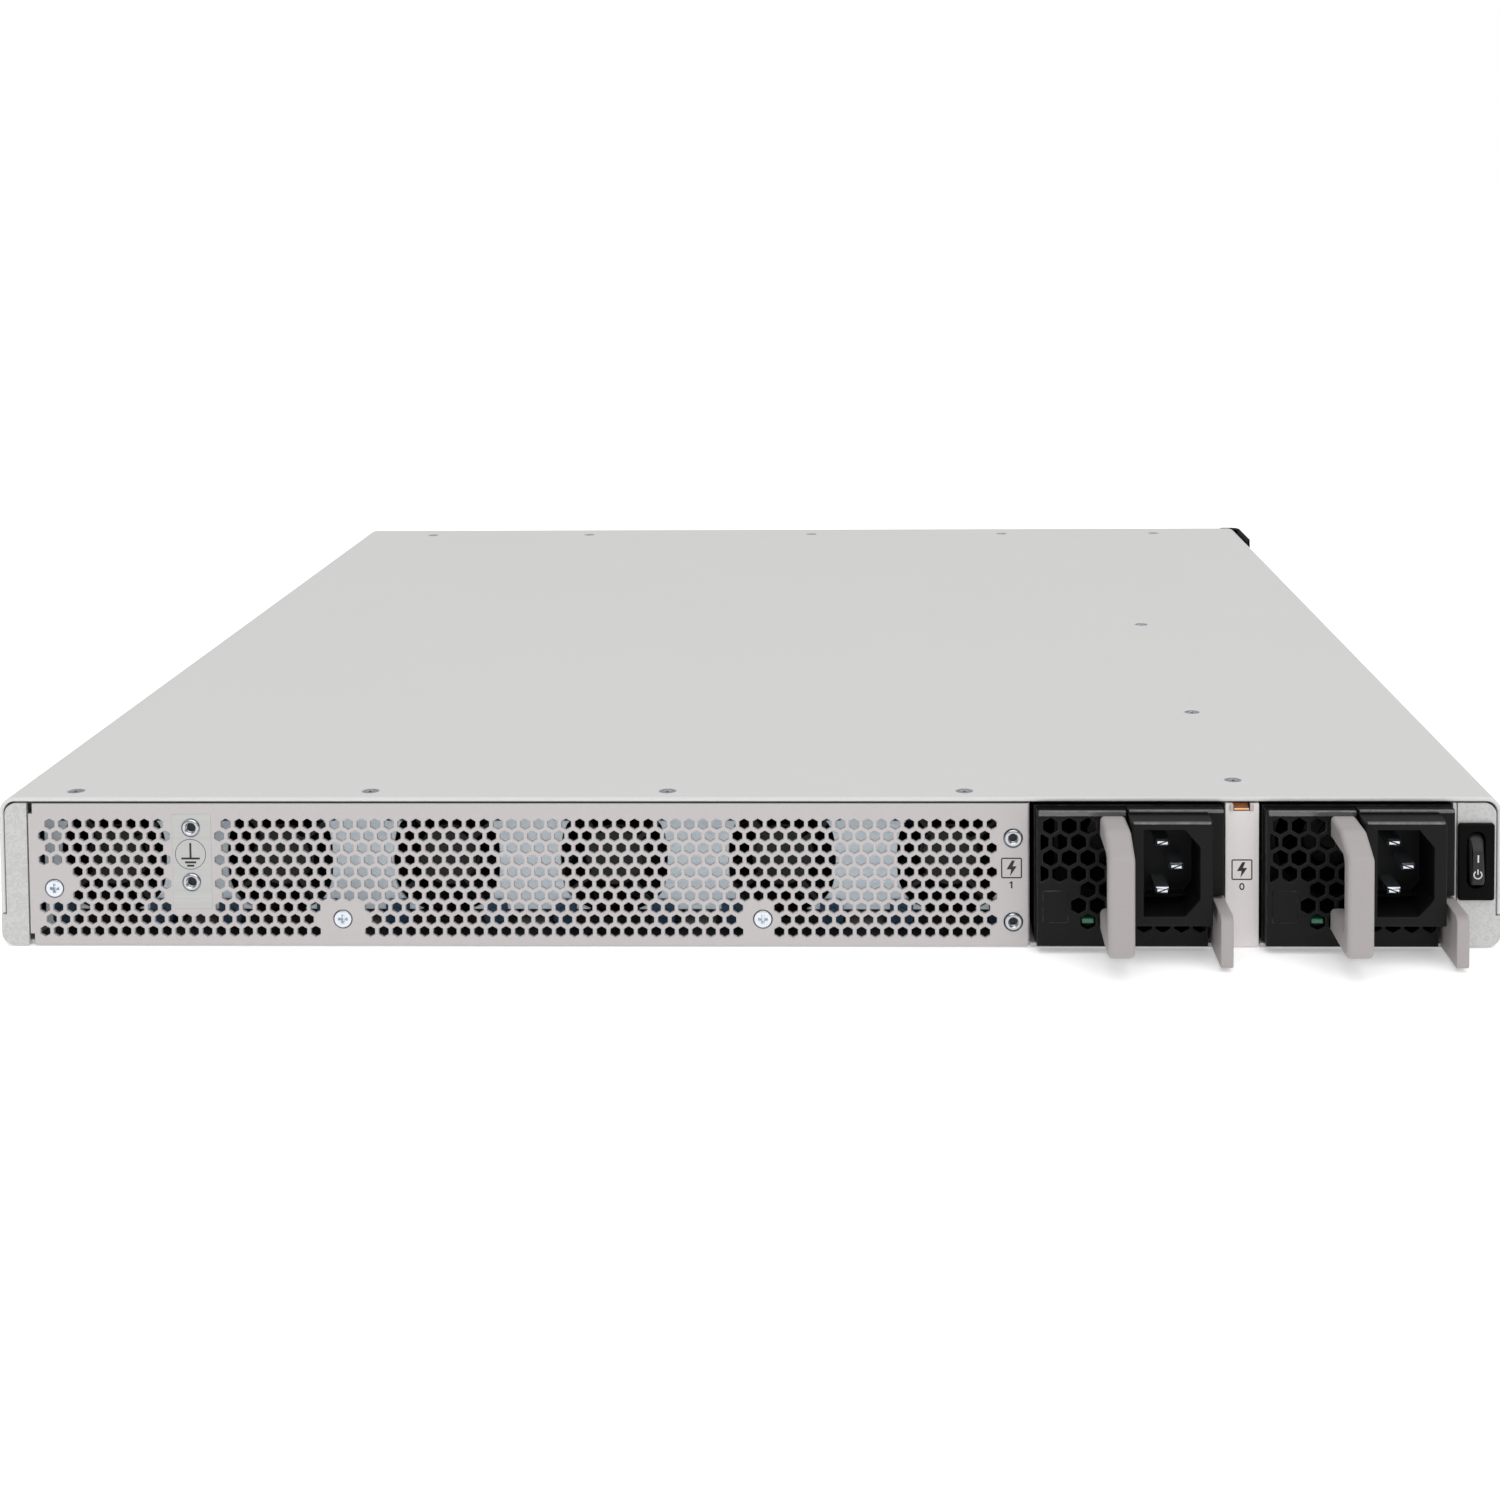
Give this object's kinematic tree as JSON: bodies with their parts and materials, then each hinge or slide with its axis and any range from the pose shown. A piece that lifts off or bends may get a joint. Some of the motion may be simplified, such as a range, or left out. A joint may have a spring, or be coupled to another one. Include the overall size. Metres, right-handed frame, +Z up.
{
  "type": "rackmount network switch",
  "caption": "Rack-height network switch in a folded steel case with a perforated fan panel and slide-out power supplies at the rear and network ports at the front.",
  "frame": {"origin": "underside of the case, at the middle of its width and length", "axes": "+Z up, +X to the right when facing the rear, -Y out of the rear panel, +Y out of the port side"},
  "size_m": [0.4422, 0.4972, 0.0442],
  "materials": {
    "cover_paint": "fine matte powder coat",
    "panel_paint": "satin powder coat",
    "galvanised": "spangled zinc-coated sheet",
    "zinc": "bright zinc plate",
    "copper": "copper alloy spring",
    "psu_black": "black satin coat",
    "inlet_plastic": "moulded",
    "handle_grey": "fine moulded texture",
    "black_plastic": "moulded",
    "fan_plastic": "moulded",
    "board": "solder mask",
    "socket_plastic": "moulded",
    "aluminium": "extruded",
    "port_shield": "tinned shell"
  },
  "bodies": {
    "chassis": {"base_pan": "galvanised", "top_cover": "cover_paint", "rear_panel": "panel_paint", "bay_divider": "panel_paint", "bay_wall_left": "galvanised", "bay_wall_right": "galvanised", "emi_spring": "copper", "corner_cap": "black_plastic", "fan_bulkhead": "galvanised", "switch_housing": "black_plastic", "main_board": "board", "midplane_board": "board", "psu0_socket": "socket_plastic", "psu1_socket": "socket_plastic", "asic_heatsink": "aluminium", "cpu_heatsink": "aluminium", "front_panel": "cover_paint", "sfp_cage": "port_shield", "qsfp_cage": "port_shield", "usb_port": "port_shield", "mgmt_ports": "port_shield", "port_block_left": "port_shield", "port_block_right": "port_shield", "panel_screw_0": "zinc", "panel_screw_1": "zinc", "panel_screw_2": "zinc", "ground_bush_0": "zinc", "panel_insert_0": "zinc", "ground_bush_1": "zinc", "panel_insert_1": "zinc", "fan0_frame": "fan_plastic", "fan1_frame": "fan_plastic", "fan2_frame": "fan_plastic", "fan3_frame": "fan_plastic", "fan4_frame": "fan_plastic", "fan5_frame": "fan_plastic"},
    "fan0_impeller": {"fan0_rotor": "fan_plastic"},
    "fan1_impeller": {"fan1_rotor": "fan_plastic"},
    "fan2_impeller": {"fan2_rotor": "fan_plastic"},
    "fan3_impeller": {"fan3_rotor": "fan_plastic"},
    "fan4_impeller": {"fan4_rotor": "fan_plastic"},
    "fan5_impeller": {"fan5_rotor": "fan_plastic"},
    "rocker": {"power_rocker": "black_plastic"},
    "power_supply_0": {"psu0_case": "psu_black", "psu0_face": "psu_black", "psu0_inlet": "inlet_plastic", "psu0_handle": "handle_grey", "psu0_board": "board", "psu0_fan_frame": "fan_plastic"},
    "latch_0": {"psu0_latch": "handle_grey"},
    "psu0_impeller": {"psu0_fan_rotor": "fan_plastic"},
    "power_supply_1": {"psu1_case": "psu_black", "psu1_face": "psu_black", "psu1_inlet": "inlet_plastic", "psu1_handle": "handle_grey", "psu1_board": "board", "psu1_fan_frame": "fan_plastic"},
    "latch_1": {"psu1_latch": "handle_grey"},
    "psu1_impeller": {"psu1_fan_rotor": "fan_plastic"}
  },
  "joints": [
    {"name": "fan0_spin", "type": "hinge", "parent": "chassis", "child": "fan0_impeller", "pos_m": [-0.1909, -0.2025, 0.0218], "axis": [0, 1, 0], "continuous": true},
    {"name": "fan1_spin", "type": "hinge", "parent": "chassis", "child": "fan1_impeller", "pos_m": [-0.1406, -0.2025, 0.0218], "axis": [0, 1, 0], "continuous": true},
    {"name": "fan2_spin", "type": "hinge", "parent": "chassis", "child": "fan2_impeller", "pos_m": [-0.0903, -0.2025, 0.0218], "axis": [0, 1, 0], "continuous": true},
    {"name": "fan3_spin", "type": "hinge", "parent": "chassis", "child": "fan3_impeller", "pos_m": [-0.04, -0.2025, 0.0218], "axis": [0, 1, 0], "continuous": true},
    {"name": "fan4_spin", "type": "hinge", "parent": "chassis", "child": "fan4_impeller", "pos_m": [0.0103, -0.2025, 0.0218], "axis": [0, 1, 0], "continuous": true},
    {"name": "fan5_spin", "type": "hinge", "parent": "chassis", "child": "fan5_impeller", "pos_m": [0.0606, -0.2025, 0.0218], "axis": [0, 1, 0], "continuous": true},
    {"name": "psu0_slide", "type": "slide", "parent": "chassis", "child": "power_supply_0", "axis": [0, -1, 0], "range_m": [0, 0.2]},
    {"name": "psu0_latch_press", "type": "hinge", "parent": "power_supply_0", "child": "latch_0", "pos_m": [0.2038, -0.209, 0.00875], "axis": [0, 0, -1], "range_deg": [0, 1.8], "stiffness_Nm_per_rad": 3, "springref_deg": -1.15},
    {"name": "psu0_fan_spin", "type": "hinge", "parent": "power_supply_0", "child": "psu0_impeller", "pos_m": [0.178, -0.185, 0.0219], "axis": [0, 1, 0], "continuous": true},
    {"name": "psu1_slide", "type": "slide", "parent": "chassis", "child": "power_supply_1", "axis": [0, -1, 0], "range_m": [0, 0.2]},
    {"name": "psu1_latch_press", "type": "hinge", "parent": "power_supply_1", "child": "latch_1", "pos_m": [0.13755, -0.209, 0.00875], "axis": [0, 0, -1], "range_deg": [0, 1.8], "stiffness_Nm_per_rad": 3, "springref_deg": -1.15},
    {"name": "psu1_fan_spin", "type": "hinge", "parent": "power_supply_1", "child": "psu1_impeller", "pos_m": [0.11175, -0.185, 0.0219], "axis": [0, 1, 0], "continuous": true},
    {"name": "power_rocker_tip", "type": "hinge", "parent": "chassis", "child": "rocker", "pos_m": [0.21235, -0.2298, 0.02615], "axis": [1, 0, 0], "range_deg": [0, 14]}
  ]
}
